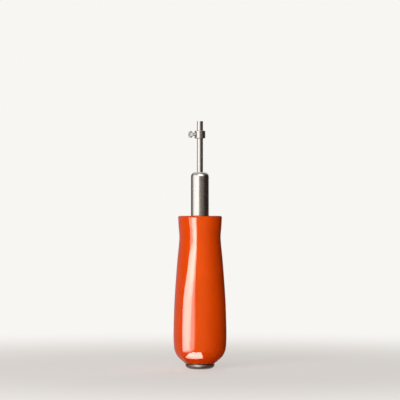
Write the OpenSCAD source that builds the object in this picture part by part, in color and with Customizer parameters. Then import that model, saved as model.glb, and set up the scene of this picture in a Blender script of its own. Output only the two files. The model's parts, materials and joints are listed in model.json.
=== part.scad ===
// Nail setter: a sprung guide tube that slides back over a magnetised driving post,
// in a plated barrel let into a turned and lacquered wooden handle.
// Lengths are in millimetres. The tool stands on its butt: Z runs from the butt cap to the
// tip, the front of the tool faces -Y, and the origin is the centre of the butt cap's face.

/* [Handle] */
// Length of the wooden handle
handle_len = 88.8; // [75:0.1:110]
// Diameter of the handle at its belly
belly_d = 32; // [28:0.1:38]
// Radius of the rounded edge round the top of the handle
handle_top_round = 1; // [0.6:0.1:2]
// Bevel round the foot of the handle
foot_bevel = 0.3; // [0.1:0.1:0.8]

/* [Butt] */
// Diameter of the domed butt cap
cap_d = 17.6; // [13:0.1:20]
// Height of the butt cap, from its face to the washer
cap_h = 3; // [2:0.1:4.5]
// Diameter of the flat in the middle of the dome
cap_flat_d = 8.4; // [6:0.1:10]
// Height of the straight band round the cap's rim
cap_rim_h = 0.6; // [0.3:0.1:1.2]
// Diameter of the threaded boss behind the cap
boss_d = 6; // [5:0.1:8]
// Length of the boss behind the cap
boss_len = 5.5; // [4:0.1:8]
// Thickness of the washer between the cap and the wood
butt_washer_t = 0.5; // [0.3:0.1:1]
// How far the cap's rim stands out past the washer
washer_inset = 0.2; // [0.1:0.1:0.6]
// Diameter of the tie rod through the handle
rod_d = 3; // [2.5:0.1:3.6]
// Length of the rod's thread in the post plug
rod_grip_len = 5; // [3.5:0.1:5.4]

/* [Barrel] */
// Length of the plated barrel that shows above the handle
barrel_len = 26.4; // [20:0.1:34]
// Outer diameter of the barrel
barrel_d = 11; // [10:0.1:13]
// Radius of the rounded nose of the barrel
nose_round = 2.8; // [1.2:0.1:2.8]
// Thickness of the end wall inside the nose
nose_wall_t = 1.5; // [1:0.1:2.5]
// Length of the tang that is let into the handle
tang_len = 35.8; // [32:0.1:45]
// Step from the barrel down to its tang, which bears on the wood
tang_step = 0.5; // [0.3:0.05:0.8]
// Wall thickness of the tang
tang_wall_t = 0.8; // [0.5:0.05:1]
// Length of the brass bush that guides the tube
bush_len = 6; // [4:0.1:8]

/* [Guide tube] */
// Outer diameter of the guide tube
tube_d = 3.7; // [3.5:0.05:4.2]
// Length of tube that shows above the barrel at rest
tube_reach = 30.7; // [27:0.1:34]
// Diameter of the nail pocket in the tip
pocket_d = 2.6; // [2.45:0.05:2.8]
// Length of the nail pocket
pocket_len = 19.2; // [14:0.1:22]
// Thickness of the ring that keeps the tube in the barrel
ring_t = 2.5; // [1.5:0.1:4]

/* [Depth stop] */
// Diameter of the stop collar on the tube
collar_d = 6.6; // [6:0.1:9]
// Height of the stop collar
collar_h = 4.8; // [4:0.1:6]
// Distance from the tip of the tube to the collar
collar_back = 5.7; // [5.1:0.1:9]
// Bevel round both edges of the collar
collar_bevel = 0.35; // [0.1:0.05:0.5]
// Thread diameter of the collar screw
screw_d = 2; // [1.6:0.1:2.4]
// Diameter of the screw head
screw_head_d = 4; // [3.2:0.1:4.6]
// Height of the screw head
screw_head_h = 1.3; // [0.9:0.1:1.8]
// Bare thread between the collar and the screw head
screw_stand_off = 2.5; // [1:0.1:4]
// Bevel round the screw head
screw_bevel = 0.2; // [0.1:0.05:0.4]
// Width of the screwdriver slot
slot_w = 0.5; // [0.3:0.05:0.7]
// Depth of the screwdriver slot
slot_depth = 0.7; // [0.4:0.05:0.8]
// Turn of the screw towards the front, in degrees from the left
screw_turn = 27; // [0:1:60]
// Turn of the slot from upright, in degrees
slot_turn = 40; // [0:1:180]

/* [Driving post and spring] */
// Diameter of the magnetised driving post
post_d = 2.1; // [1.8:0.05:2.2]
// Depth that the post is seated in its plug
post_seat_len = 6; // [4.5:0.1:6.4]
// Length of the plug that carries the post
plug_len = 12; // [12:0.1:15]
// Bevel round the post's driving end
post_bevel = 0.2; // [0.1:0.05:0.4]
// Diameter of the cross pin through the plug and the post
pin_d = 1; // [0.6:0.05:1.2]
// Thickness of the two washers that the spring bears on
seat_t = 0.5; // [0.3:0.05:1]
// Diameter of the spring wire
wire_d = 0.7; // [0.5:0.05:0.8]
// Turns in the spring
spring_turns = 16; // [12:1:17]

/* [Fits] */
// Gap all round a piece that is glued or dropped into the wood
wood_gap = 0.05; // [0.02:0.01:0.1]
// Gap all round the rod and the boss in the wood
rod_gap = 0.2; // [0.1:0.05:0.4]
// Gap all round a pressed or screwed piece
press_gap = 0.02; // [0.01:0.01:0.03]
// Gap all round the tube in its bush and in the collar
slide_gap = 0.05; // [0.02:0.01:0.08]
// Gap all round the post in the tube
post_gap = 0.08; // [0.04:0.01:0.1]
// Gap all round the post in the spring washers
seat_gap = 0.15; // [0.1:0.01:0.16]
// Gap all round the tube where it leaves the nose
nose_gap = 0.25; // [0.15:0.05:0.4]
// Gap all round the ring and the spring washers in the barrel
barrel_gap = 0.25; // [0.15:0.05:0.4]
// Gap between faces that part when the tube moves
face_gap = 0.05; // [0.02:0.01:0.1]
// Gap between the spring and the wall of the barrel
spring_gap = 0.65; // [0.4:0.05:1]
// Gap at the blind ends of the rod and the boss
end_gap = 0.3; // [0.1:0.05:0.6]

/* [Hidden] */

lacquer = "#E04A08";
plated = "#C9CACC";
steel = "#9C9EA1";
spring_steel = "#6F7276";
brass = "#C9A24B";

round_faces = 96;
cut_over = 1;

// Heights, from the butt up
washer_z = cap_h;
handle_z = washer_z + butt_washer_t;
shoulder_z = handle_z + handle_len;
nose_z = shoulder_z + barrel_len;
tip_z = nose_z + tube_reach;
tang_z = shoulder_z - tang_len;
bore_top_z = nose_z - nose_wall_t;
bush_z = bore_top_z - bush_len;
ring_z = bush_z - face_gap - ring_t;
upper_seat_z = ring_z - face_gap - seat_t;
lower_seat_z = tang_z + plug_len;
spring_z = lower_seat_z + seat_t + face_gap;
spring_len = upper_seat_z - face_gap - spring_z;
pocket_z = tip_z - pocket_len;
post_z = lower_seat_z - post_seat_len;
post_end_gap = 0.2;
post_top_z = pocket_z - post_end_gap;
collar_z = tip_z - collar_back - collar_h;
cap_floor_t = 3.5;
boss_top_z = cap_h + boss_len;
rod_z = cap_floor_t + end_gap;
rod_top_z = tang_z + rod_grip_len - end_gap;

// Radii, from the axis out
post_r = post_d / 2;
rod_r = rod_d / 2;
tube_r = tube_d / 2;
boss_r = boss_d / 2;
cap_r = cap_d / 2;
belly_r = belly_d / 2;
collar_r = collar_d / 2;
screw_r = screw_d / 2;
barrel_r = barrel_d / 2;
tang_r = barrel_r - tang_step;
bore_r = tang_r - tang_wall_t;
seat_r = bore_r - barrel_gap;
seat_hole_r = post_r + seat_gap;
spring_r = bore_r - spring_gap - wire_d / 2;
butt_margin = 0.7;
butt_r = cap_r + butt_margin;

// The turned outline above the butt: [share of the length, share of the belly's radius]
turning_shares = [
    [0.019, 0.69], [0.042, 0.826], [0.07, 0.92], [0.112, 0.981], [0.215, 1], [0.42, 0.966],
    [0.6, 0.902], [0.72, 0.849], [0.81, 0.8], [0.87, 0.78], [0.935, 0.808], [1, 0.828]
];
turning_steps = 5;
arc_steps = 8;

// Spring
spring_sides = 6;
turn_steps = 14;
closed_turns = 1.5;
coil_gap = 0.45;
wire_r = wire_d / 2;
closed_pitch = wire_d + coil_gap;
open_turns = spring_turns - 2 * closed_turns;
open_pitch = (spring_len - wire_d - 2 * closed_turns * closed_pitch) / open_turns;
echo(least_gap_between_spring_turns = min(closed_pitch, open_pitch) - wire_d);

// Points of a quarter arc round a corner's centre, from one angle to another
function arc(centre, width, height, from, to) = [
    for (i = [0 : arc_steps])
        let (a = from + (to - from) * i / arc_steps)
        [centre.x + width * cos(a), centre.y + height * sin(a)]
];

// A smooth curve through the points of a list, with straight-running ends
function blend(p, q, r, s, t) =
    q + (r - p) * t / 2 + (2 * p - 5 * q + 4 * r - s) * t ^ 2 / 2 + (3 * (q - r) + s - p) * t ^ 3 / 2;
function curve(points) =
    let (last = len(points) - 1)
    [
        for (i = [0 : last - 1])
            let (p = points[max(i - 1, 0)], q = points[i])
            let (r = points[i + 1], s = points[min(i + 2, last)])
            for (k = [0 : turning_steps - 1])
                blend(p, q, r, s, k / turning_steps),
        points[last]
    ];

// Outline points are [radius, height]
module lathe(outline) {
    rotate_extrude($fn = round_faces) polygon(outline);
}

module bore(r, from, to) {
    translate([0, 0, from]) cylinder(r = r, h = to - from, $fn = round_faces);
}

module ring(outer, inner, from, to) {
    lathe([[inner, from], [outer, from], [outer, to], [inner, to]]);
}

// The turned handle, bored for the barrel's tang, the tie rod and the cap's boss
module handle() {
    turned_len = handle_len - handle_top_round;
    turned = curve(concat(
        [[butt_r, handle_z + foot_bevel]],
        [for (s = turning_shares) [s.y * belly_r, handle_z + s.x * turned_len]]
    ));
    rim = turned[len(turned) - 1];
    top_edge = arc([rim.x - handle_top_round, rim.y], handle_top_round, handle_top_round, 0, 90);
    color(lacquer) difference() {
        lathe(concat(
            [[0, handle_z], [butt_r - foot_bevel, handle_z]], turned, top_edge, [[0, shoulder_z]]
        ));
        bore(tang_r + wood_gap, tang_z, shoulder_z + cut_over);
        bore(rod_r + rod_gap, handle_z - cut_over, tang_z + cut_over);
        bore(boss_r + rod_gap, handle_z - cut_over, boss_top_z + end_gap);
    }
}

// The domed cap, with a threaded boss that draws up on the tie rod
module butt_cap() {
    dome_h = cap_h - cap_rim_h;
    dome = arc([cap_flat_d / 2, dome_h], cap_r - cap_flat_d / 2, dome_h, 270, 360);
    color(plated) lathe(concat(
        [[0, 0]], dome,
        [[cap_r, cap_h], [boss_r, cap_h], [boss_r, boss_top_z]],
        [[rod_r + press_gap, boss_top_z], [rod_r + press_gap, cap_floor_t], [0, cap_floor_t]]
    ));
}

module butt_washer() {
    color(spring_steel) ring(cap_r - washer_inset, boss_r + rod_gap, washer_z, handle_z);
}

// The rod that ties the butt cap to the post plug through the wood
module tie_rod() {
    color(steel) bore(rod_r, rod_z, rod_top_z);
}

// The plated barrel: a shoulder on the wood, a tang inside it and a rounded nose
module barrel() {
    nose = arc([barrel_r - nose_round, nose_z - nose_round], nose_round, nose_round, 0, 90);
    hole_r = tube_r + nose_gap;
    color(plated) lathe(concat(
        [[bore_r, tang_z], [tang_r, tang_z], [tang_r, shoulder_z], [barrel_r, shoulder_z]],
        nose,
        [[hole_r, nose_z], [hole_r, bore_top_z], [bore_r, bore_top_z]]
    ));
}

module nose_bush() {
    color(brass) ring(bore_r - press_gap, tube_r + slide_gap, bush_z, bore_top_z);
}

// The plug in the tang's end: the rod's thread below, the post's seat above, the pin across
module post_plug() {
    color(steel) difference() {
        bore(bore_r - press_gap, tang_z, lower_seat_z);
        bore(rod_r + press_gap, tang_z - cut_over, tang_z + rod_grip_len);
        bore(post_r + press_gap, post_z, lower_seat_z + cut_over);
        pin_shape(pin_d / 2 + press_gap, cut_over);
    }
}

// The magnetised post, fixed in its plug, that drives the nail out of the pocket
module drive_post() {
    color(steel) difference() {
        lathe([
            [0, post_z], [post_r, post_z], [post_r, post_top_z - post_bevel],
            [post_r - post_bevel, post_top_z], [0, post_top_z]
        ]);
        pin_shape(pin_d / 2 + press_gap, cut_over);
    }
}

module post_pin() {
    color(spring_steel) pin_shape(pin_d / 2, -end_gap);
}

// The pin's cylinder, across the plug half way up the post's seat
module pin_shape(r, over) {
    half = bore_r - press_gap + over;
    translate([-half, 0, post_z + post_seat_len / 2])
        rotate([0, 90, 0]) cylinder(r = r, h = 2 * half, $fn = round_faces);
}

module lower_spring_washer() {
    color(spring_steel) ring(seat_r, seat_hole_r, lower_seat_z, lower_seat_z + seat_t);
}

module upper_spring_washer() {
    color(spring_steel) ring(seat_r, seat_hole_r, upper_seat_z, upper_seat_z + seat_t);
}

// Height of the wire's centre above the spring's foot after some turns
function coil_height(turns) =
    let (closed = min(turns, closed_turns) + max(turns - closed_turns - open_turns, 0))
    let (open = min(max(turns - closed_turns, 0), open_turns))
    wire_r + closed * closed_pitch + open * open_pitch;

// One unbroken tube of wire, wound closer at both ends
module return_spring() {
    rings = spring_turns * turn_steps;
    points = [
        for (i = [0 : rings], k = [0 : spring_sides - 1])
            let (turn = i / turn_steps, a = 360 * turn, b = 360 * (k + 0.5) / spring_sides)
            let (out = spring_r + wire_r * cos(b))
            [out * cos(a), out * sin(a), spring_z + coil_height(turn) + wire_r * sin(b)]
    ];
    walls = [
        for (i = [0 : rings - 1], k = [0 : spring_sides - 1])
            let (a = i * spring_sides + k, b = i * spring_sides + (k + 1) % spring_sides)
            each [
                [a, b, b + spring_sides],
                [a, b + spring_sides, a + spring_sides]
            ]
    ];
    foot = [for (k = [0 : spring_sides - 1]) spring_sides - 1 - k];
    head = [for (k = [0 : spring_sides - 1]) rings * spring_sides + k];
    color(spring_steel) polyhedron(points, concat(walls, [foot, head]), convexity = 10);
}

// The sliding tube: a nail pocket in the tip and a closer bore over the post
module guide_tube() {
    color(plated) lathe([
        [post_r + post_gap, ring_z], [tube_r, ring_z], [tube_r, tip_z],
        [pocket_d / 2, tip_z], [pocket_d / 2, pocket_z], [post_r + post_gap, pocket_z]
    ]);
}

// The ring on the tube's foot, which stops it under the bush
module retaining_ring() {
    color(steel) ring(bore_r - barrel_gap, tube_r + press_gap, ring_z, ring_z + ring_t);
}

// Carries its children from the axis out along the collar screw
module along_screw() {
    translate([0, 0, collar_z + collar_h / 2])
        rotate([0, 0, 180 + screw_turn]) rotate([0, 90, 0]) children();
}

// The clamped collar that meets the barrel's nose and sets the depth
module stop_collar() {
    inner = tube_r + slide_gap;
    waist = collar_r - collar_bevel;
    top_z = collar_z + collar_h;
    color(plated) difference() {
        lathe([
            [inner, collar_z], [waist, collar_z], [collar_r, collar_z + collar_bevel],
            [collar_r, top_z - collar_bevel], [waist, top_z], [inner, top_z]
        ]);
        along_screw() cylinder(r = screw_r + slide_gap, h = collar_r + cut_over, $fn = round_faces);
    }
}

// The slotted screw that clamps the collar to the tube
module collar_screw() {
    foot = tube_r + slide_gap;
    head = collar_r + screw_stand_off;
    top = head + screw_head_h;
    head_r = screw_head_d / 2;
    color(plated) along_screw() difference() {
        lathe([
            [0, foot], [screw_r, foot], [screw_r, head], [head_r, head],
            [head_r, top - screw_bevel], [head_r - screw_bevel, top], [0, top]
        ]);
        rotate([0, 0, slot_turn]) translate([-head_r - cut_over, -slot_w / 2, top - slot_depth])
            cube([screw_head_d + 2 * cut_over, slot_w, slot_depth + cut_over]);
    }
}

handle();
butt_cap();
butt_washer();
tie_rod();
barrel();
nose_bush();
post_plug();
drive_post();
post_pin();
lower_spring_washer();
return_spring();
upper_spring_washer();
guide_tube();
retaining_ring();
stop_collar();
collar_screw();
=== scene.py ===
"""Looks of a sprung nail setter: a lacquered turned handle, a plated barrel and a sliding guide tube.

The script is laid out as an add-on and run as a script. Each operator models one piece round the
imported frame. Lengths are in metres, and the tool stands on its butt with Z along its axis.
"""

import json
import math

import bmesh
import bpy
from mathutils import Matrix, Vector

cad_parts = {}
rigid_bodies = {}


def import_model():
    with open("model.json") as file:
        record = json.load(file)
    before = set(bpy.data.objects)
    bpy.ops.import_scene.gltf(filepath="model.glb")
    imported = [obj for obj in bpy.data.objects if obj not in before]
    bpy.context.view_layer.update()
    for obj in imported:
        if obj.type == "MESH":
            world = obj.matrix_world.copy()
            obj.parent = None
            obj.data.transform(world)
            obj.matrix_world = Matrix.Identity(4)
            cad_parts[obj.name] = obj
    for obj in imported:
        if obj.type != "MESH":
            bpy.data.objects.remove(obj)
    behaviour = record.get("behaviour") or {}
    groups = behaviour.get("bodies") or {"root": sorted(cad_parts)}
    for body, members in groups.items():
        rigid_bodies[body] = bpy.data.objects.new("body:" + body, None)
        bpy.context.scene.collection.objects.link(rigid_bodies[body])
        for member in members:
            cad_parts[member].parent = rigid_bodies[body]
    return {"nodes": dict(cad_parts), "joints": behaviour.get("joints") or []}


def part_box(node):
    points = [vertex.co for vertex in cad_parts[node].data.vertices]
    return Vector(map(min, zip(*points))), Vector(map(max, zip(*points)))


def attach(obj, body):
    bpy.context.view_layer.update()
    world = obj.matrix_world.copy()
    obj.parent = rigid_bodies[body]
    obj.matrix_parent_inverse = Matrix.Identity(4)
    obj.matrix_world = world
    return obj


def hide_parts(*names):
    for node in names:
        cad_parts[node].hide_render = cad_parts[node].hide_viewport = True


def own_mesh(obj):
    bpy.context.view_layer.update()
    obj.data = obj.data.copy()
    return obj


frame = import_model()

bl_info = {
    "name": "Nail Setter",
    "version": (1, 0, 0),
    "blender": (4, 5, 0),
    "location": "3D View > Sidebar > Nail Setter",
    "description": "Models a sprung nail setter piece by piece round its packed frame",
    "category": "Add Mesh",
}

MM = 0.001
UP = Vector((0, 0, 1))
# Sides of a turned piece, and of a small one
TURNED_SIDES = 128
SMALL_SIDES = 64
# Corners closer than this are one corner
MERGE_GAP = 0.001 * MM
# Edges that fold more than this are bevelled, and shown sharp where they stay
FOLD = math.radians(30)


# Sizes read from the frame


def foot(node):
    """Height of a CAD node's lowest corner."""
    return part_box(node)[0].z


def head(node):
    """Height of a CAD node's highest corner."""
    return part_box(node)[1].z


def joint(name):
    """The record's joint of that name."""
    return next(j for j in frame["joints"] if j["name"] == name)


# Colours and properties


def linear(paint):
    """An sRGB hex colour as the three linear numbers that a shader takes."""
    shares = [int(paint[i : i + 2], 16) / 255 for i in (1, 3, 5)]
    return [c / 12.92 if c <= 0.04045 else ((c + 0.055) / 1.055) ** 2.4 for c in shares]


def length(name, description, size):
    """A length that a user can set, given in millimetres."""
    return bpy.props.FloatProperty(
        name=name, description=description, default=size * MM, min=0, unit="LENGTH", precision=5
    )


def colour(name, description, paint):
    """A colour that a user can set, given as sRGB hex."""
    return bpy.props.FloatVectorProperty(
        name=name, description=description, default=linear(paint), min=0, max=1, subtype="COLOR"
    )


class NAILSETTER_PG_handle(bpy.types.PropertyGroup):
    """Sizes and colour of the turned handle and what closes its butt"""

    belly_d: length("Belly", "Diameter of the handle at its belly", 32)
    top_round: length("Top edge", "Radius of the rounded edge round the top", 1)
    foot_bevel: length("Foot edge", "Bevel round the foot of the handle", 0.3)
    rod_bore_d: length("Rod bore", "Diameter of the bore for the tie rod", 3.4)
    boss_bore_d: length("Boss bore", "Diameter of the bore for the cap's boss", 6.4)
    tang_bore_d: length("Tang bore", "Diameter of the bore for the barrel's tang", 10.1)
    lacquer: colour("Lacquer", "Colour of the lacquer", "#E04806")
    cap_d: length("Cap", "Diameter of the domed butt cap", 17.6)
    cap_flat_d: length("Cap flat", "Diameter of the flat in the middle of the dome", 8.4)
    cap_rim: length("Cap rim", "Height of the straight band round the cap", 0.6)
    boss_d: length("Boss", "Diameter of the boss behind the cap", 6)
    cap_floor: length("Cap floor", "Thickness of the cap under the rod's bore", 3.5)
    washer_inset: length("Washer inset", "How far the cap stands out past the washer", 0.2)


class NAILSETTER_PG_barrel(bpy.types.PropertyGroup):
    """Sizes and colours of the barrel and the guide tube"""

    barrel_d: length("Barrel", "Outer diameter of the barrel", 11)
    nose_round: length("Nose", "Radius of the rounded nose", 2.8)
    tang_d: length("Tang", "Outer diameter of the tang in the handle", 10)
    bore_d: length("Bore", "Inner diameter of the barrel", 8.4)
    nose_hole_d: length("Nose hole", "Diameter of the hole in the nose", 4.2)
    tube_d: length("Tube", "Outer diameter of the guide tube", 3.7)
    pocket_d: length("Pocket", "Diameter of the nail pocket in the tip", 2.6)
    post_bore_d: length("Post bore", "Diameter of the bore over the post", 2.26)
    pocket_len: length("Pocket length", "Length of the nail pocket", 19.2)
    plate: colour("Plate", "Colour of the nickel plate", "#DAD7D2")


class NAILSETTER_PG_stop(bpy.types.PropertyGroup):
    """Sizes of the depth stop and its screw"""

    collar_d: length("Collar", "Outer diameter of the stop collar", 6.6)
    collar_bore_d: length("Collar bore", "Inner diameter of the stop collar", 3.8)
    collar_bevel: length("Collar bevel", "Bevel round the edges of the collar", 0.35)
    screw_d: length("Screw", "Thread diameter of the collar screw", 2)
    pitch: length("Pitch", "Pitch of the screw's thread", 0.4)
    head_d: length("Head", "Diameter of the screw head", 4)
    head_h: length("Head height", "Height of the screw head", 1.3)
    stand_off: length("Stand-off", "Bare thread between the collar and the head", 2.5)
    slot_w: length("Slot", "Width of the screwdriver slot", 0.5)
    slot_depth: length("Slot depth", "Depth of the screwdriver slot", 0.7)
    slot_turn: bpy.props.FloatProperty(
        name="Slot turn",
        description="Turn of the slot from upright",
        default=math.radians(40),
        subtype="ANGLE",
    )


class NAILSETTER_PG_spring(bpy.types.PropertyGroup):
    """Sizes of the return spring"""

    wire_d: length("Wire", "Diameter of the spring wire", 0.7)
    coil_d: length("Coil", "Diameter of the coil at the middle of the wire", 6.4)
    closed_pitch: length("Closed pitch", "Rise of a turn at each end", 1.15)
    turns: bpy.props.IntProperty(name="Turns", description="Turns in the spring", default=16)
    closed_turns: bpy.props.FloatProperty(
        name="Closed turns", description="Closer turns at each end", default=1.5
    )


# Modelling by hand, in code


def start(primitive, name, **settings):
    """Adds a primitive with nothing else selected, and names it."""
    bpy.ops.object.select_all(action="DESELECT")
    primitive(**settings)
    made = bpy.context.object
    made.name = name
    made.data.name = name
    return made


def choose(obj, wanted):
    """In edit mode, selects the corners that wanted() says yes to, and nothing else."""
    bpy.ops.mesh.select_mode(type="VERT")
    bpy.ops.mesh.select_all(action="DESELECT")
    shape = bmesh.from_edit_mesh(obj.data)
    for corner in shape.verts:
        corner.select = wanted(corner.co)
    shape.select_flush(True)
    bmesh.update_edit_mesh(obj.data)


def tidy(obj):
    """In edit mode, merges doubled corners and turns every face outwards."""
    bpy.ops.mesh.select_all(action="SELECT")
    bpy.ops.mesh.remove_doubles(threshold=MERGE_GAP)
    bpy.ops.mesh.normals_make_consistent(inside=False)


def apply(obj, kind, **settings):
    """Adds a modifier with its settings and applies it."""
    bpy.context.view_layer.objects.active = obj
    modifier = obj.modifiers.new(kind.lower(), kind)
    for name, value in settings.items():
        setattr(modifier, name, value)
    bpy.ops.object.modifier_apply(modifier=modifier.name)


def turned(name, outline, sides=TURNED_SIDES):
    """A piece turned round Z. A ring is drawn out and resized along the outline of (radius, height).

    An outline that comes back to its first point is a ring. Any other is closed by flat ends.
    """
    radius, height = outline[0]
    made = start(
        bpy.ops.mesh.primitive_circle_add, name, vertices=sides, radius=radius, location=(0, 0, height)
    )
    bpy.ops.object.transform_apply(location=True)
    bpy.ops.object.mode_set(mode="EDIT")
    bpy.ops.mesh.select_all(action="SELECT")
    for (r0, z0), (r1, z1) in zip(outline, outline[1:]):
        bpy.ops.mesh.extrude_region_move(TRANSFORM_OT_translate={"value": (0, 0, z1 - z0)})
        bpy.ops.transform.resize(value=(r1 / r0, r1 / r0, 1), center_override=(0, 0, z1))
    if outline[0] != outline[-1]:
        bpy.ops.mesh.edge_face_add()
        choose(made, lambda co: abs(co.z - height) < MERGE_GAP and abs(co.xy.length - radius) < MERGE_GAP)
        bpy.ops.mesh.edge_face_add()
    tidy(made)
    bpy.ops.object.mode_set(mode="OBJECT")
    return made


def ring(name, outer, inner, low, high, sides=TURNED_SIDES):
    """A plain turned ring."""
    corners = [(inner, low), (outer, low), (outer, high), (inner, high), (inner, low)]
    return turned(name, corners, sides)


def ease(obj, width, segments=3):
    """Bevels every sharp edge a little, as a tool or a tumbler leaves it, and smooths the rest."""
    apply(
        obj, "BEVEL", width=width, segments=segments, limit_method="ANGLE", angle_limit=FOLD,
        use_clamp_overlap=True,
    )
    smooth(obj)


def smooth(obj):
    """Smooth shading that keeps flat faces flat."""
    bpy.ops.object.select_all(action="DESELECT")
    obj.select_set(True)
    bpy.context.view_layer.objects.active = obj
    bpy.ops.object.shade_smooth_by_angle(angle=FOLD)
    apply(obj, "WEIGHTED_NORMAL", keep_sharp=True, weight=50)


def cut(obj, cutter, operation="DIFFERENCE"):
    """Cuts one piece with another, or joins them, and removes the second."""
    apply(obj, "BOOLEAN", object=cutter, operation=operation, solver="EXACT")
    bpy.data.objects.remove(cutter)


def place(obj, matrix):
    """Moves a piece by a matrix and puts that into its mesh."""
    bpy.ops.object.select_all(action="DESELECT")
    obj.select_set(True)
    bpy.context.view_layer.objects.active = obj
    obj.matrix_world = matrix
    bpy.ops.object.transform_apply(location=True, rotation=True, scale=True)


def finish_piece(obj, node, body, material):
    """Dresses a piece that stands for a CAD node, and makes it ride on its body."""
    obj.data.materials.clear()
    obj.data.materials.append(material)
    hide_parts(node)
    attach(obj, body)


def arc(centre_r, centre_z, width, height, start_deg, end_deg, steps=8):
    """Points of a rounded corner, as (radius, height)."""
    turns = [math.radians(start_deg + (end_deg - start_deg) * i / steps) for i in range(steps + 1)]
    return [(centre_r + width * math.cos(a), centre_z + height * math.sin(a)) for a in turns]


def curve(points, steps):
    """A smooth line through a list of (radius, height), with straight-running ends."""
    ends = [Vector(p) for p in (points[0], *points, points[-1])]
    line = []
    for p, q, r, s in zip(ends, ends[1:], ends[2:], ends[3:]):
        for k in range(steps):
            t = k / steps
            even = (2 * p - 5 * q + 4 * r - s) * t**2 / 2
            line.append(q + (r - p) * t / 2 + even + (3 * (q - r) + s - p) * t**3 / 2)
    return [tuple(p) for p in line] + [points[-1]]


# Materials


def add(tree, kind, sockets=None, **properties):
    """Adds a node with its settings. A socket given another node's socket is linked to it."""
    made = tree.nodes.new("ShaderNode" + kind)
    for name, value in properties.items():
        setattr(made, name, value)
    for name, value in (sockets or {}).items():
        if isinstance(value, bpy.types.NodeSocket):
            tree.links.new(value, made.inputs[name])
        else:
            made.inputs[name].default_value = value
    return made


def new_material(name):
    """An empty node material, with its tree and its output."""
    made = bpy.data.materials.new(name)
    made.use_nodes = True
    made.node_tree.nodes.clear()
    return made, made.node_tree, made.node_tree.nodes.new("ShaderNodeOutputMaterial")


def stretched(tree, spacing, along=1, across=1):
    """Object coordinates as a noise of one spacing, drawn out along Z or round the axis."""
    place_on = add(tree, "TexCoord").outputs["Object"]
    scale = (across / spacing, across / spacing, along / spacing)
    return add(tree, "Mapping", {"Vector": place_on, "Scale": scale}).outputs["Vector"]


def lacquered_beech(paint):
    """Beech, turned, sanded and dipped in opaque orange lacquer.

    The lacquer is thick and levels out, so it gives sharp, slightly wavy highlights. The pores of the
    wood telegraph through it as faint streaks along the grain.
    """
    made, tree, output = new_material("lacquered_beech")
    # Beech pores are about 0.1 mm wide and some millimetres long, drawn here at 0.5 mm to show
    grain = add(
        tree, "TexNoise",
        {"Vector": stretched(tree, 0.5 * MM, along=0.04), "Scale": 1.0, "Detail": 3.0, "Roughness": 0.6},
    )
    # The dipped coat is a little thicker in places, over about 12 mm
    cloud = add(
        tree, "TexNoise",
        {"Vector": stretched(tree, 12 * MM, along=0.5), "Scale": 1.0, "Detail": 2.0},
    )
    both = add(tree, "Math", {0: grain.outputs["Fac"], 1: cloud.outputs["Fac"]})
    depth = add(tree, "MapRange", {"Value": both.outputs[0], 1: 0.75, 2: 1.25})
    paint_mix = add(tree, "ValToRGB", {"Fac": depth.outputs[0]})
    thin, thick = paint_mix.color_ramp.elements
    thick_share = 0.9
    thin.color = [*paint, 1]
    thick.color = [c * thick_share for c in paint] + [1]
    pores = add(tree, "Bump", {"Height": grain.outputs["Fac"], "Strength": 0.15, "Distance": 0.02 * MM})
    # Slow waves where the lacquer ran and set
    waves = add(
        tree, "TexNoise",
        {"Vector": stretched(tree, 7 * MM, along=0.45), "Scale": 1.0, "Detail": 1.0},
    )
    coat = add(tree, "Bump", {"Height": waves.outputs["Fac"], "Strength": 0.08, "Distance": 0.12 * MM})
    shader = add(
        tree, "BsdfPrincipled",
        {
            "Base Color": paint_mix.outputs["Color"], "Normal": pores.outputs["Normal"],
            "Coat Normal": coat.outputs["Normal"], "Roughness": 0.5, "Specular IOR Level": 0.0,
            "Coat Weight": 1.0, "Coat Roughness": 0.035, "Coat IOR": 1.52,
        },
    )
    tree.links.new(shader.outputs["BSDF"], output.inputs["Surface"])
    return made


def turned_metal(name, paint, roughness, mark_spacing, mark_depth):
    """A metal that was turned, so that fine tool marks run round it and draw reflections out along it."""
    made, tree, output = new_material(name)
    # Tool marks: noise that hardly changes round the piece and changes fast along it
    turning = stretched(tree, mark_spacing, across=0.01)
    marks = add(
        tree, "TexNoise", {"Vector": turning, "Scale": 1.0, "Detail": 4.0, "Roughness": 0.7}
    )
    # Handling: the finish is duller in patches of about 3 mm
    handling = stretched(tree, 3 * MM)
    bright_share, dull_share = 0.8, 1.4
    patches = add(
        tree, "TexNoise", {"Vector": handling, "Scale": 1.0, "Detail": 5.0, "Roughness": 0.65}
    )
    worn = add(
        tree, "MapRange",
        {
            "Value": patches.outputs["Fac"], 1: 0.35, 2: 0.7,
            3: roughness * bright_share, 4: roughness * dull_share,
        },
    )
    bump = add(tree, "Bump", {"Height": marks.outputs["Fac"], "Strength": 1.0, "Distance": mark_depth})
    shader = add(
        tree, "BsdfPrincipled",
        {
            "Base Color": [*paint, 1], "Metallic": 1.0, "Roughness": worn.outputs[0],
            "Normal": bump.outputs["Normal"],
        },
    )
    tree.links.new(shader.outputs["BSDF"], output.inputs["Surface"])
    return made


def nickel_plate(paint):
    """Bright nickel plate over turned steel: a clear, slightly warm mirror with faint marks round it."""
    made = bpy.data.materials.get("nickel_plate")
    return made or turned_metal(
        "nickel_plate", paint, roughness=0.09, mark_spacing=0.12 * MM, mark_depth=0.0004 * MM
    )


def blued_steel():
    """Steel washers blackened by heat: a dark, satin, slightly cold grey."""
    return turned_metal(
        "blued_steel", linear("#4A4C50"), roughness=0.38, mark_spacing=0.2 * MM, mark_depth=0.002 * MM
    )


def bright_steel():
    """Ground and turned mild steel, left bare: grey, satin, with clear tool marks."""
    return turned_metal(
        "bright_steel", linear("#AEB0B3"), roughness=0.28, mark_spacing=0.15 * MM, mark_depth=0.002 * MM
    )


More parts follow.
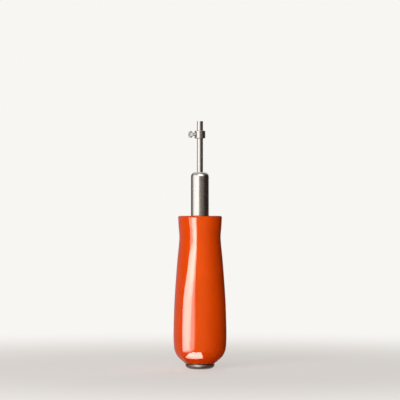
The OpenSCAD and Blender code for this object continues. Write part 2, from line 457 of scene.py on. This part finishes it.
def spring_wire():
    """Patented spring wire: drawn, with a dull grey sheen along the wire."""
    return turned_metal(
        "spring_wire", linear("#7E8287"), roughness=0.32, mark_spacing=0.5 * MM, mark_depth=0.0005 * MM
    )


def turned_brass():
    """Free-cutting brass from the lathe: warm yellow, bright, with fine rings."""
    return turned_metal(
        "turned_brass", linear("#D8B466"), roughness=0.2, mark_spacing=0.15 * MM, mark_depth=0.0015 * MM
    )


# The pieces


class NAILSETTER_OT_handle(bpy.types.Operator):
    """Turn the lacquered wooden handle, with its bores"""

    bl_idname = "nail_setter.handle"
    bl_label = "Handle"

    # The turned outline above the butt: share of the length, share of the belly's radius
    turning_shares = [
        (0.019, 0.69), (0.042, 0.826), (0.07, 0.92), (0.112, 0.981), (0.215, 1), (0.42, 0.966),
        (0.6, 0.902), (0.72, 0.849), (0.81, 0.8), (0.87, 0.78), (0.935, 0.808), (1, 0.828),
    ]
    butt_margin = 0.7 * MM
    bore_clear = 0.3 * MM
    edge_ease = 0.12 * MM

    def execute(self, context):
        size = context.scene.nail_setter_handle
        low, high = foot("handle"), head("handle")
        belly_r = size.belly_d / 2
        turned_len = high - low - size.top_round
        butt_r = size.cap_d / 2 + self.butt_margin
        belly = [(r * belly_r, low + h * turned_len) for h, r in self.turning_shares]
        line = curve([(butt_r, low + size.foot_bevel)] + belly, steps=10)
        rim_r, rim_z = line[-1]
        edge = arc(rim_r - size.top_round, rim_z, size.top_round, size.top_round, 0, 90)
        tang_r, rod_r, boss_r = size.tang_bore_d / 2, size.rod_bore_d / 2, size.boss_bore_d / 2
        tang_z, boss_z = foot("barrel"), head("butt_cap") + self.bore_clear
        bores = [
            (tang_r, high), (tang_r, tang_z), (rod_r, tang_z), (rod_r, boss_z), (boss_r, boss_z),
            (boss_r, low), (butt_r - size.foot_bevel, low), line[0],
        ]
        made = turned("turned_handle", line + edge[1:] + bores)
        ease(made, self.edge_ease)
        finish_piece(made, "handle", "grip", lacquered_beech(size.lacquer))
        return {"FINISHED"}


class NAILSETTER_OT_butt(bpy.types.Operator):
    """Turn the domed butt cap and the washer between it and the wood"""

    bl_idname = "nail_setter.butt"
    bl_label = "Butt cap and washer"

    rod_gap = 0.02 * MM
    boss_gap = 0.2 * MM
    edge_ease = 0.08 * MM

    def execute(self, context):
        size = context.scene.nail_setter_handle
        plate = context.scene.nail_setter_barrel.plate
        cap_r, flat_r, boss_r = size.cap_d / 2, size.cap_flat_d / 2, size.boss_d / 2
        rim_z, boss_z = foot("butt_washer"), head("butt_cap")
        dome_h = rim_z - size.cap_rim
        rod_r = (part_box("tie_rod")[1].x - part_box("tie_rod")[0].x) / 2 + self.rod_gap
        dome = arc(flat_r, dome_h, cap_r - flat_r, dome_h, 270, 360, steps=14)
        back = [
            (cap_r, rim_z), (boss_r, rim_z), (boss_r, boss_z), (rod_r, boss_z), (rod_r, size.cap_floor),
        ]
        cap = turned("domed_cap", dome + back)
        ease(cap, self.edge_ease)
        finish_piece(cap, "butt_cap", "grip", nickel_plate(plate))
        washer = ring(
            "dark_washer", cap_r - size.washer_inset, boss_r + self.boss_gap, rim_z, head("butt_washer")
        )
        ease(washer, self.edge_ease)
        finish_piece(washer, "butt_washer", "grip", blued_steel())
        return {"FINISHED"}


class NAILSETTER_OT_barrel(bpy.types.Operator):
    """Turn the plated barrel, with its rounded nose and its tang in the wood"""

    bl_idname = "nail_setter.barrel"
    bl_label = "Barrel"

    edge_ease = 0.08 * MM

    def execute(self, context):
        size = context.scene.nail_setter_barrel
        barrel_r, tang_r, bore_r = size.barrel_d / 2, size.tang_d / 2, size.bore_d / 2
        hole_r, nose_z, tang_z = size.nose_hole_d / 2, head("barrel"), foot("barrel")
        shoulder_z, bore_top = head("handle"), head("nose_bush")
        nose = arc(
            barrel_r - size.nose_round, nose_z - size.nose_round, size.nose_round, size.nose_round,
            0, 90, steps=14,
        )
        outline = [
            (bore_r, tang_z), (tang_r, tang_z), (tang_r, shoulder_z), (barrel_r, shoulder_z), *nose,
            (hole_r, nose_z), (hole_r, bore_top), (bore_r, bore_top), (bore_r, tang_z),
        ]
        made = turned("plated_barrel", outline)
        ease(made, self.edge_ease)
        finish_piece(made, "barrel", "grip", nickel_plate(size.plate))
        return {"FINISHED"}


class NAILSETTER_OT_guide_tube(bpy.types.Operator):
    """Draw the guide tube, with the nail pocket in its tip"""

    bl_idname = "nail_setter.guide_tube"
    bl_label = "Guide tube"

    edge_ease = 0.1 * MM

    def execute(self, context):
        size = context.scene.nail_setter_barrel
        tube_r, pocket_r, bore_r = size.tube_d / 2, size.pocket_d / 2, size.post_bore_d / 2
        low, tip = foot("guide_tube"), head("guide_tube")
        pocket_z = tip - size.pocket_len
        outline = [
            (bore_r, low), (tube_r, low), (tube_r, tip), (pocket_r, tip), (pocket_r, pocket_z),
            (bore_r, pocket_z), (bore_r, low),
        ]
        made = turned("plated_guide_tube", outline, SMALL_SIDES)
        ease(made, self.edge_ease)
        finish_piece(made, "guide_tube", "tube", nickel_plate(size.plate))
        return {"FINISHED"}


def along_screw():
    """From the screw's own frame, where Z runs out along it from the tool's axis, to its place."""
    turn = joint("screw_turn")
    outwards = Vector(turn["axis"])
    start_at = Vector((0, 0, turn["pos_m"][2]))
    return Matrix.Translation(start_at) @ outwards.to_track_quat("Z", "Y").to_matrix().to_4x4()


class NAILSETTER_OT_stop_collar(bpy.types.Operator):
    """Turn the stop collar and drill and countersink its side for the screw"""

    bl_idname = "nail_setter.stop_collar"
    bl_label = "Stop collar"

    hole_gap = 0.05 * MM
    countersink = 0.2 * MM
    edge_ease = 0.05 * MM

    def execute(self, context):
        size = context.scene.nail_setter_stop
        low, high = foot("stop_collar"), head("stop_collar")
        outer, inner, bevel = size.collar_d / 2, size.collar_bore_d / 2, size.collar_bevel
        outline = [
            (inner, low), (outer - bevel, low), (outer, low + bevel), (outer, high - bevel),
            (outer - bevel, high), (inner, high), (inner, low),
        ]
        made = turned("plated_collar", outline, SMALL_SIDES)
        hole_r = size.screw_d / 2 + self.hole_gap
        sink = self.countersink
        cutter = turned(
            "collar_drill",
            [(hole_r, inner / 2), (hole_r, outer - sink), (hole_r + 2 * sink, outer + sink)],
            SMALL_SIDES,
        )
        place(cutter, along_screw())
        cut(made, cutter)
        ease(made, self.edge_ease, segments=2)
        plate = context.scene.nail_setter_barrel.plate
        finish_piece(made, "stop_collar", "collar", nickel_plate(plate))
        return {"FINISHED"}


def threaded_rod(name, thread_d, pitch, low, high, sides):
    """A closed rod with a real thread, wound from one tooth and cut square at both ends."""
    # A metric thread's depth, and where its flanks and crest lie, as shares of the pitch
    depth_share = 0.61
    root_to, crest_from, crest_to = 0.25, 0.5625, 0.6875
    crest, root = thread_d / 2, thread_d / 2 - depth_share * pitch
    tooth = [(root, root_to), (crest, crest_from), (crest, crest_to), (root, 1)]
    made = start(bpy.ops.mesh.primitive_plane_add, name, size=thread_d)
    bpy.ops.object.mode_set(mode="EDIT")
    bpy.ops.mesh.select_all(action="SELECT")
    bpy.ops.mesh.merge(type="CENTER")
    bpy.ops.mesh.select_all(action="SELECT")
    bpy.ops.transform.translate(value=(root, 0, low - pitch))
    at = (root, 0)
    for radius, share in tooth:
        move = (radius - at[0], 0, (share - at[1]) * pitch)
        bpy.ops.mesh.extrude_region_move(TRANSFORM_OT_translate={"value": move})
        at = (radius, share)
    bpy.ops.object.mode_set(mode="OBJECT")
    apply(
        made, "SCREW", axis="Z", angle=math.tau, screw_offset=pitch,
        iterations=math.ceil((high - low) / pitch) + 2, steps=sides, render_steps=sides,
        use_merge_vertices=True, merge_threshold=MERGE_GAP,
    )
    bpy.ops.object.mode_set(mode="EDIT")
    tidy(made)
    for height, normal in ((low, (0, 0, -1)), (high, (0, 0, 1))):
        bpy.ops.mesh.select_all(action="SELECT")
        bpy.ops.mesh.bisect(
            plane_co=(0, 0, height), plane_no=normal, use_fill=True, clear_outer=True
        )
    tidy(made)
    bpy.ops.object.mode_set(mode="OBJECT")
    return made


class NAILSETTER_OT_collar_screw(bpy.types.Operator):
    """Make the collar screw: a slotted head on a threaded shank"""

    bl_idname = "nail_setter.collar_screw"
    bl_label = "Collar screw"

    foot_gap = 0.05 * MM
    overlap = 0.2 * MM
    head_bevel = 0.2 * MM
    edge_ease = 0.05 * MM
    thread_sides = 48

    def execute(self, context):
        size = context.scene.nail_setter_stop
        tube_r = context.scene.nail_setter_barrel.tube_d / 2
        under_head = size.collar_d / 2 + size.stand_off
        top = under_head + size.head_h
        head_r, shank_r, bevel = size.head_d / 2, size.screw_d / 2, self.head_bevel
        made = turned(
            "slotted_screw",
            [
                (shank_r, under_head), (head_r, under_head), (head_r, top - bevel),
                (head_r - bevel, top),
            ],
            SMALL_SIDES,
        )
        slot = start(bpy.ops.mesh.primitive_cube_add, "slot_saw", size=1)
        slot.scale = (2 * size.head_d, size.slot_w, 2 * size.slot_depth)
        at_head = Matrix.Translation((0, 0, top)) @ Matrix.Rotation(size.slot_turn, 4, "Z")
        place(slot, at_head @ slot.matrix_basis)
        cut(made, slot)
        ease(made, self.edge_ease, segments=2)
        shank = threaded_rod(
            "screw_thread", size.screw_d, size.pitch, tube_r + self.foot_gap, under_head + self.overlap,
            self.thread_sides,
        )
        cut(made, shank, "UNION")
        place(made, along_screw())
        smooth(made)
        plate = context.scene.nail_setter_barrel.plate
        finish_piece(made, "collar_screw", "screw", nickel_plate(plate))
        return {"FINISHED"}


class NAILSETTER_OT_return_spring(bpy.types.Operator):
    """Wind the return spring as it stands at rest; the real spring shortens as the tube slides in"""

    bl_idname = "nail_setter.return_spring"
    bl_label = "Return spring"

    # Points of the wire's middle in a turn
    steps = 40

    def execute(self, context):
        size = context.scene.nail_setter_spring
        low, high = foot("return_spring"), head("return_spring")
        closed, turns = size.closed_turns, size.turns
        wire_r = size.wire_d / 2
        open_turns = turns - 2 * closed
        open_pitch = (high - low - size.wire_d - 2 * closed * size.closed_pitch) / open_turns
        bpy.ops.object.select_all(action="DESELECT")
        bpy.ops.curve.primitive_nurbs_path_add()
        made = bpy.context.object
        made.name = "wound_spring"
        made.data.splines.clear()
        spline = made.data.splines.new("POLY")
        spline.points.add(turns * self.steps)
        for i, point in enumerate(spline.points):
            turn = i / self.steps
            in_open = min(max(turn - closed, 0), open_turns)
            rise = (turn - in_open) * size.closed_pitch + in_open * open_pitch
            a = math.tau * turn
            r = size.coil_d / 2
            point.co = (r * math.cos(a), r * math.sin(a), low + wire_r + rise, 1)
        made.data.bevel_depth = wire_r
        made.data.bevel_resolution = 3
        made.data.use_fill_caps = True
        made.data.resolution_u = 1
        bpy.ops.object.convert(target="MESH")
        made = bpy.context.object
        made.data.name = made.name
        bpy.ops.object.mode_set(mode="EDIT")
        tidy(made)
        bpy.ops.object.mode_set(mode="OBJECT")
        smooth(made)
        finish_piece(made, "return_spring", "grip", spring_wire())
        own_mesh(made)
        return {"FINISHED"}


class NAILSETTER_OT_inner_pieces(bpy.types.Operator):
    """Give the pieces inside the tool, which keep their CAD shape, the finish of the real metal"""

    bl_idname = "nail_setter.inner_pieces"
    bl_label = "Inner pieces"

    def execute(self, context):
        steel, blued, brass = bright_steel(), blued_steel(), turned_brass()
        finishes = {
            "tie_rod": steel, "post_plug": steel, "drive_post": steel, "post_pin": blued,
            "retaining_ring": steel, "nose_bush": brass, "lower_spring_washer": blued,
            "upper_spring_washer": blued,
        }
        for node, material in finishes.items():
            mesh = frame["nodes"][node].data
            mesh.materials.clear()
            mesh.materials.append(material)
        return {"FINISHED"}


# The stage


class NAILSETTER_OT_stage(bpy.types.Operator):
    """Set the camera, the soft lights, the pale floor, and the panes and cards that the gloss shows"""

    bl_idname = "nail_setter.stage"
    bl_label = "Stage"

    # The photograph: its width in pixels, millimetres a pixel, and the rows of its middle and the butt
    photo_px = 400
    photo_mm_per_px = 0.603
    middle_row = 200
    butt_row = 368.9
    # The camera's distance, and its sensor's width in millimetres
    camera_away = 1.5
    sensor = 36
    # The backdrop, the panes and the room's own light, which is a little warm
    pale = "#F8F6F3"
    pane_tint = "#FFFCF1"
    ambient_tint = "#FFEFE4"
    ambient = 0.08
    # The floor, how far from the tool it turns into backdrop, and how much of it is that from the start
    floor_tint = "#D6CDC6"
    floor_size = 16
    fade_from = 0.1
    fade_to = 0.45
    fade_least = 0.5
    # Height that the lamps point at, and how far off they are
    aim = 0.08
    lamps_away = 0.9
    # The boards that the panes stand on: degrees to the right of the camera, and distance from the axis
    streak_azimuth = -55
    streak_away = 0.03
    back_azimuth = 180
    back_away = 0.1
    # How far below the butt the level pane lies, and its turn in degrees
    pane_under = 0.03
    under_turn = -13
    # Where a pane's finished rows wait while the others are moved
    set_aside = 1
    # Flat strips in a curved card
    card_strips = 72

    def execute(self, context):
        self.camera(context)
        self.world(context)
        self.floor()
        self.matt_lamps()
        self.gloss_groups()
        self.gloss_panes()
        self.cards()
        context.scene.view_settings.view_transform = "Standard"
        return {"FINISHED"}

    def camera(self, context):
        """A camera square to the tool, that frames it as the photograph does."""
        data = bpy.data.cameras.new("camera")
        made = bpy.data.objects.new("camera", data)
        context.scene.collection.objects.link(made)
        height = (self.butt_row - self.middle_row) * self.photo_mm_per_px * MM
        made.location = (0, -self.camera_away, height)
        made.rotation_euler = (math.radians(90), 0, 0)
        data.sensor_width = self.sensor
        data.lens = self.sensor * self.camera_away / (self.photo_px * self.photo_mm_per_px * MM)
        context.scene.camera = made

    def seen(self, tree):
        """One for rays from the camera, off gloss and through glass, and nought for others."""
        path = add(tree, "LightPath")
        either = add(
            tree, "Math", {0: path.outputs["Is Camera Ray"], 1: path.outputs["Is Glossy Ray"]},
            operation="MAXIMUM",
        )
        return add(
            tree, "Math", {0: either.outputs[0], 1: path.outputs["Is Transmission Ray"]},
            operation="MAXIMUM",
        ).outputs[0]

    def world(self, context):
        """A pale room that shows behind the tool, and lights it a little from all round."""
        world = bpy.data.worlds.new("pale_room")
        context.scene.world = world
        world.use_nodes = True
        tree = world.node_tree
        tree.nodes.clear()
        shown = add(tree, "Background", {"Color": [*linear(self.pale), 1], "Strength": 1.0})
        light = add(
            tree, "Background", {"Color": [*linear(self.ambient_tint), 1], "Strength": self.ambient}
        )
        mixed = add(tree, "MixShader", {0: self.seen(tree), 1: light.outputs[0], 2: shown.outputs[0]})
        output = tree.nodes.new("ShaderNodeOutputWorld")
        tree.links.new(mixed.outputs[0], output.inputs["Surface"])

    def floor(self):
        """A pale matt floor that keeps the shadow near the tool and runs out into the room."""
        made = start(bpy.ops.mesh.primitive_plane_add, "floor", size=self.floor_size)
        material, tree, output = new_material("matt_floor")
        place_on = add(tree, "TexCoord").outputs["Object"]
        away = add(tree, "VectorMath", {0: place_on}, operation="LENGTH").outputs["Value"]
        fade = add(
            tree, "MapRange",
            {"Value": away, 1: self.fade_from, 2: self.fade_to, 3: self.fade_least, 4: 1.0},
            interpolation_type="SMOOTHSTEP",
        )
        path = add(tree, "LightPath")
        shown = add(
            tree, "Math", {0: fade.outputs[0], 1: path.outputs["Is Camera Ray"]}, operation="MULTIPLY"
        )
        matt = add(tree, "BsdfDiffuse", {"Color": [*linear(self.floor_tint), 1]})
        glow = add(tree, "Emission", {"Color": [*linear(self.pale), 1], "Strength": 1.0})
        above = add(tree, "MixShader", {0: shown.outputs[0], 1: matt.outputs[0], 2: glow.outputs[0]})
        # From below the floor is clear, so that the butt can be seen
        from_below = add(tree, "NewGeometry").outputs["Backfacing"]
        clear = add(tree, "BsdfTransparent")
        mixed = add(tree, "MixShader", {0: from_below, 1: above.outputs[0], 2: clear.outputs[0]})
        tree.links.new(mixed.outputs[0], output.inputs["Surface"])
        made.data.materials.append(material)
        made.visible_glossy = False

    def heading(self, azimuth, elevation=0):
        """The way to a place that many degrees round from the camera, to the right, and up."""
        a, e = math.radians(azimuth), math.radians(elevation)
        return Vector((math.sin(a) * math.cos(e), -math.cos(a) * math.cos(e), math.sin(e)))

    def lamp(self, name, azimuth, elevation, width, height, radiance):
        """A soft box of one radiance, a long way off, that faces the tool."""
        outwards = self.heading(azimuth, elevation)
        data = bpy.data.lights.new(name, "AREA")
        data.shape = "RECTANGLE"
        data.size = width
        data.size_y = height
        data.energy = math.pi * width * height * radiance
        made = bpy.data.objects.new(name, data)
        bpy.context.scene.collection.objects.link(made)
        made.location = UP * self.aim + outwards * self.lamps_away
        made.rotation_euler = outwards.to_track_quat("Z", "Y").to_euler()
        made.visible_camera = False
        made.visible_glossy = False

    def matt_lamps(self):
        """Soft boxes for the matt light. The gloss shows panes and cards instead."""
        for name, azimuth, elevation, width, height, radiance in (
            ("front", -20, 8, 0.7, 0.6, 8.1),
            ("left_back", -150, 10, 0.5, 0.6, 2.4),
            ("right_back", 168, 15, 0.7, 0.6, 3.2),
            ("top", -20, 80, 0.8, 0.8, 0.4),
        ):
            self.lamp(name, azimuth, elevation, width, height, radiance)

    def gloss_panes(self):
        """Panes of light that stand close by, for the gloss of the lacquer alone.

        A long slanted pane gives the streak down the handle. Fainter ones beside it fade it out, at its
        right and at the top of its left. A level one lights the turn of the handle above the butt, and
        one at the back is for views from there.
        """
        even = ((0, 0), (0.06, 1), (0.94, 1), (1, 0))
        rising = ((0, 0), (0.06, 0.62), (0.3, 0.85), (0.55, 1), (0.75, 1), (1, 0))
        fading = ((0, 0), (0.06, 1), (0.6, 0.85), (1, 0))
        beside = self.board(self.streak_azimuth, self.streak_away)
        behind = self.board(self.back_azimuth, self.back_away)
        turn = Matrix.Rotation(math.radians(self.under_turn), 4, "Z")
        under = Matrix.Translation((0, 0, -self.pane_under)) @ turn
        for name, board, radiance, shades, rungs in (
            ("streak", beside, 18, rising, (
                (-3, -12, 12, 0), (1, -9, 13, 0.3), (5, -7, 13.5, 0.55), (9, -5.5, 14, 0.72),
                (15, -4.6, 14, 0.77), (30, -4.6, 14.5, 0.83), (43, -4, 16, 0.83), (52, -1.5, 18.5, 0.9),
                (61, 2, 22, 1), (68, 4, 23, 1), (73, 6.5, 24, 1), (77, 9, 25, 0.98),
                (79.5, 12.5, 24.5, 0.95), (82.5, 10.5, 23.5, 0.93), (92.5, 10.5, 23.5, 0.9),
            )),
            ("upper_wing", beside, 5.8, even, (
                (66, 3.4, 4.5, 1), (73, 4.6, 8, 1), (77, 5.4, 10.5, 1), (79.5, 5, 14, 1),
                (82.5, 5.5, 12.5, 1), (88, 3.5, 12, 1), (92.5, 3, 12, 1),
            )),
            ("fading_streak", beside, 6.3, fading, (
                (-3, 9, 20, 0), (2, 10, 21, 0.5), (7, 11, 23, 0.8), (15, 11, 24.5, 1), (30, 11, 25, 1),
                (48, 13, 24.5, 1), (56, 17, 24.5, 1), (66, 20.5, 25, 1), (75, 21.5, 27, 1),
                (92.5, 21.5, 27, 1),
            )),
            ("butt_pane", under, 16, even, (
                (-62, -20, 18, 0.95), (-50, -31, 19, 1), (-40, -41, 19, 1), (-28, -44, 17, 0.95),
                (-13, -39, 11, 0.4), (-10, -38, -12, 0.36), (-2, -37, -33, 0.36),
            )),
            ("back_streak", behind, 5, even, (
                (-20, -15, 12, 1), (80, -15, 12, 1),
            )),
        ):
            self.pane(name, board, radiance, shades, rungs)

    def board(self, azimuth, away):
        """The frame of an upright board beside the handle: X to its right, Y up, Z away from it."""
        facing = self.heading(azimuth)
        turn = facing.to_track_quat("Z", "Y").to_matrix().to_4x4()
        return Matrix.Translation(facing * away) @ turn

    def pane(self, name, board, radiance, shades, rungs):
        """A flat pane, drawn as a ladder on its board.

        A rung is its height and the places of its left and right ends, in millimetres, and a share of
        the radiance. Shades are stops across the pane, as (share of the width, share of the radiance).
        """
        rows = len(rungs) - 1
        made = start(bpy.ops.mesh.primitive_grid_add, name, x_subdivisions=1, y_subdivisions=rows, size=1)
        bpy.ops.object.mode_set(mode="EDIT")
        for i, (up, left, right, light) in enumerate(rungs):
            level = i / rows - 0.5
            choose(made, lambda co: abs(co.y - level) < MERGE_GAP and abs(co.z) < MERGE_GAP)
            bpy.ops.transform.resize(value=((right - left) * MM, 1, 1), center_override=(0, level, 0))
            move = ((left + right) / 2 * MM, up * MM - level, self.set_aside)
            bpy.ops.transform.translate(value=move)
        bpy.ops.object.mode_set(mode="OBJECT")
        place(made, board @ Matrix.Translation((0, 0, -self.set_aside)))
        material, tree, output = new_material(name)
        place_on = add(tree, "SeparateXYZ", {0: add(tree, "TexCoord").outputs["UV"]})
        tint = linear(self.pane_tint)
        shade_stops = [(at, light, tint) for at, light in shades]
        rung_stops = [(i / rows, rung[-1] * radiance, (1, 1, 1)) for i, rung in enumerate(rungs)]
        across = self.ramp(tree, place_on.outputs["X"], shade_stops)
        along = self.ramp(tree, place_on.outputs["Y"], rung_stops)
        self.light_up(made, material, tree, output, across, along, "lacquered")

    def ramp(self, tree, share, stops):
        """A run of light along a share from 0 to 1, through stops of (share, radiance, tint)."""
        peak = max(light for at, light, tint in stops)
        run = add(tree, "ValToRGB", {0: share})
        for at, light, tint in stops[1:-1]:
            run.color_ramp.elements.new(at)
        for element, (at, light, tint) in zip(run.color_ramp.elements, stops):
            element.position = at
            element.color = [part * light / peak for part in tint] + [1]
        return add(tree, "VectorMath", {0: run.outputs[0], "Scale": peak}, operation="SCALE").outputs[0]

    def light_up(self, obj, material, tree, output, colour, radiance, group, clear=True):
        """Makes a sheet glow in the gloss of one group of pieces. The others see through it, or black."""
        glow = add(tree, "Emission", {"Color": colour, "Strength": radiance})
        if clear:
            glow = add(tree, "AddShader", {0: glow.outputs[0], 1: add(tree, "BsdfTransparent").outputs[0]})
        tree.links.new(glow.outputs[0], output.inputs["Surface"])
        material.cycles.emission_sampling = "NONE"
        obj.data.materials.append(material)
        obj.light_linking.receiver_collection = bpy.data.collections[group]
        obj.visible_camera = False
        obj.visible_diffuse = False
        obj.visible_shadow = False
        obj.visible_transmission = False

    def gloss_groups(self):
        """The groups of pieces that cards are lit for."""
        groups = {"turned_handle": "lacquered", "domed_cap": "butt", "slotted_screw": "screw"}
        for name in ("metal", *groups.values()):
            bpy.data.collections.new(name)
        for obj in list(bpy.data.objects):
            if obj.type == "MESH" and not obj.hide_render:
                bpy.data.collections[groups.get(obj.name, "metal")].objects.link(obj)

    def cards(self):
        """Curved sheets round the tool that only the gloss sees.

        For the metal they are a soft box at the left, a pale room and a dark screen at the right. The
        butt cap and the collar screw, which face other ways, have their own. The lacquer has a dim room.

        Each is given as two points of its edge, as (distance, height), and as stops of (degrees to
        the right of the camera, radiance, tint).
        """
        clear, warm, brown = linear("#FFFBF6"), linear("#FFF0E3"), linear("#FFD3BC")
        amber = linear("#FFEC90")
        for name, group, near, far, stops in (
            ("lacquer_room", "lacquered", (0.7, -0.6), (0.7, 0.6), (
                (-180, 0.5, clear), (-110, 0.3, clear), (-80, 0, amber), (-60, 0, amber),
                (-25, 0.45, amber), (15, 0.45, amber), (65, 0, amber), (150, 0, clear),
                (180, 0.5, clear),
            )),
            ("screw_card", "screw", (0.5, -0.5), (0.3, 0.7), (
                (-180, 0.5, clear), (-126, 0.7, clear), (-70, 1.0, clear), (40, 1.1, clear),
                (70, 0.9, clear), (110, 0.25, warm), (180, 0.5, clear),
            )),
            ("room_card", "metal", (0.8, -0.6), (0.8, 0.6), (
                (-180, 0.85, clear), (-165, 0.5, clear), (-150, 0.15, clear), (-122, 0.12, warm),
                (-103, 0.35, clear), (-82, 1.25, clear), (-50, 1.45, clear), (-15, 1.45, clear),
                (-9, 0.4, warm), (15, 0.22, warm), (45, 0.12, warm), (65, 0.035, brown),
                (130, 0.035, brown), (150, 0.8, clear), (180, 0.85, clear),
            )),
            ("ceiling_card", "metal", (0.8, 0.6), (0.02, 1.2), (
                (-180, 0.8, clear), (-145, 0.7, clear), (-110, 0.45, clear), (-20, 0.5, clear),
                (60, 0.15, clear), (130, 0.15, clear), (145, 0.7, clear), (180, 0.8, clear),
            )),
            ("top_card", "metal", (0.75, 0.35), (0.3, 0.9), (
                (-40, 0, clear), (-32, 1.8, clear), (40, 1.8, clear), (50, 0, clear),
            )),
            ("ground_card", "metal", (1.6, -0.6), (0.02, -0.6), (
                (-180, 0.2, clear), (-60, 0.2, brown), (-25, 0.35, clear), (40, 0.06, brown),
                (130, 0.06, brown), (180, 0.2, clear),
            )),
            ("butt_card", "butt", (0.5, 0.1), (0.3, -0.3), (
                (-180, 0.3, warm), (-110, 0.15, brown), (-78, 0.3, brown), (-50, 0.6, brown),
                (-32, 0.95, warm), (-14, 0.95, warm), (2, 0.6, warm), (15, 0.36, brown),
                (35, 0.18, brown), (60, 0.08, brown), (120, 0.05, brown), (180, 0.3, warm),
            )),
            ("butt_floor", "butt", (0.3, -0.3), (0.02, -0.3), (
                (-180, 0.12, brown), (-20, 0.25, warm), (60, 0.05, brown), (180, 0.12, brown),
            )),
        ):
            self.curved_card(name, group, near, far, stops)

    def curved_card(self, name, group, near, far, stops):
        """A sheet bent round the tool: a straight edge, spun about the tool's axis."""
        start_at, end_at = stops[0][0], stops[-1][0]
        first = self.heading(start_at)
        made = start(bpy.ops.mesh.primitive_plane_add, name, size=near[0])
        bpy.ops.object.mode_set(mode="EDIT")
        bpy.ops.mesh.select_all(action="SELECT")
        bpy.ops.mesh.merge(type="CENTER")
        bpy.ops.mesh.select_all(action="SELECT")
        bpy.ops.transform.translate(value=first * near[0] + UP * near[1])
        edge = first * (far[0] - near[0]) + UP * (far[1] - near[1])
        bpy.ops.mesh.extrude_region_move(TRANSFORM_OT_translate={"value": edge})
        bpy.ops.mesh.select_all(action="SELECT")
        turn = math.radians(start_at - end_at)
        bpy.ops.mesh.spin(steps=self.card_strips, angle=turn, center=(0, 0, 0), axis=(0, 0, 1))
        bpy.ops.object.mode_set(mode="OBJECT")
        material, tree, output = new_material(name)
        split = add(tree, "SeparateXYZ", {0: add(tree, "TexCoord").outputs["Object"]})
        front = add(tree, "Math", {0: split.outputs["Y"], 1: -1.0}, operation="MULTIPLY")
        azimuth = add(tree, "Math", {0: split.outputs["X"], 1: front.outputs[0]}, operation="ARCTAN2")
        share = add(
            tree, "MapRange",
            {"Value": azimuth.outputs[0], 1: math.radians(start_at), 2: math.radians(end_at)},
        )
        round_it = [((stop[0] - start_at) / (end_at - start_at), *stop[1:]) for stop in stops]
        colour = self.ramp(tree, share.outputs[0], round_it)
        self.light_up(made, material, tree, output, colour, 1, group, clear=group != "metal")


class NAILSETTER_PT_panel(bpy.types.Panel):
    """Lists the sizes and the steps that model the nail setter"""

    bl_idname = "NAILSETTER_PT_panel"
    bl_label = "Nail Setter"
    bl_space_type = "VIEW_3D"
    bl_region_type = "UI"
    bl_category = "Nail Setter"

    def draw(self, context):
        for name in SETTINGS:
            group = getattr(context.scene, name)
            box = self.layout.box()
            for key in group.__annotations__:
                box.prop(group, key)
        for operator in OPERATORS:
            self.layout.operator(operator.bl_idname)


SETTINGS = {
    "nail_setter_handle": NAILSETTER_PG_handle,
    "nail_setter_barrel": NAILSETTER_PG_barrel,
    "nail_setter_stop": NAILSETTER_PG_stop,
    "nail_setter_spring": NAILSETTER_PG_spring,
}
OPERATORS = (
    NAILSETTER_OT_handle,
    NAILSETTER_OT_butt,
    NAILSETTER_OT_barrel,
    NAILSETTER_OT_guide_tube,
    NAILSETTER_OT_stop_collar,
    NAILSETTER_OT_collar_screw,
    NAILSETTER_OT_return_spring,
    NAILSETTER_OT_inner_pieces,
    NAILSETTER_OT_stage,
)


def register():
    """Registers the sizes, the steps and the panel."""
    for name, group in SETTINGS.items():
        bpy.utils.register_class(group)
        setattr(bpy.types.Scene, name, bpy.props.PointerProperty(type=group))
    for operator in OPERATORS:
        bpy.utils.register_class(operator)
    bpy.utils.register_class(NAILSETTER_PT_panel)


def unregister():
    """Takes out what register put in."""
    bpy.utils.unregister_class(NAILSETTER_PT_panel)
    for operator in reversed(OPERATORS):
        bpy.utils.unregister_class(operator)
    for name, group in SETTINGS.items():
        delattr(bpy.types.Scene, name)
        bpy.utils.unregister_class(group)


def main():
    """Models every piece and the stage."""
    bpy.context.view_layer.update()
    register()
    for operator in OPERATORS:
        family, name = operator.bl_idname.split(".")
        getattr(getattr(bpy.ops, family), name)()


if __name__ == "__main__":
    main()
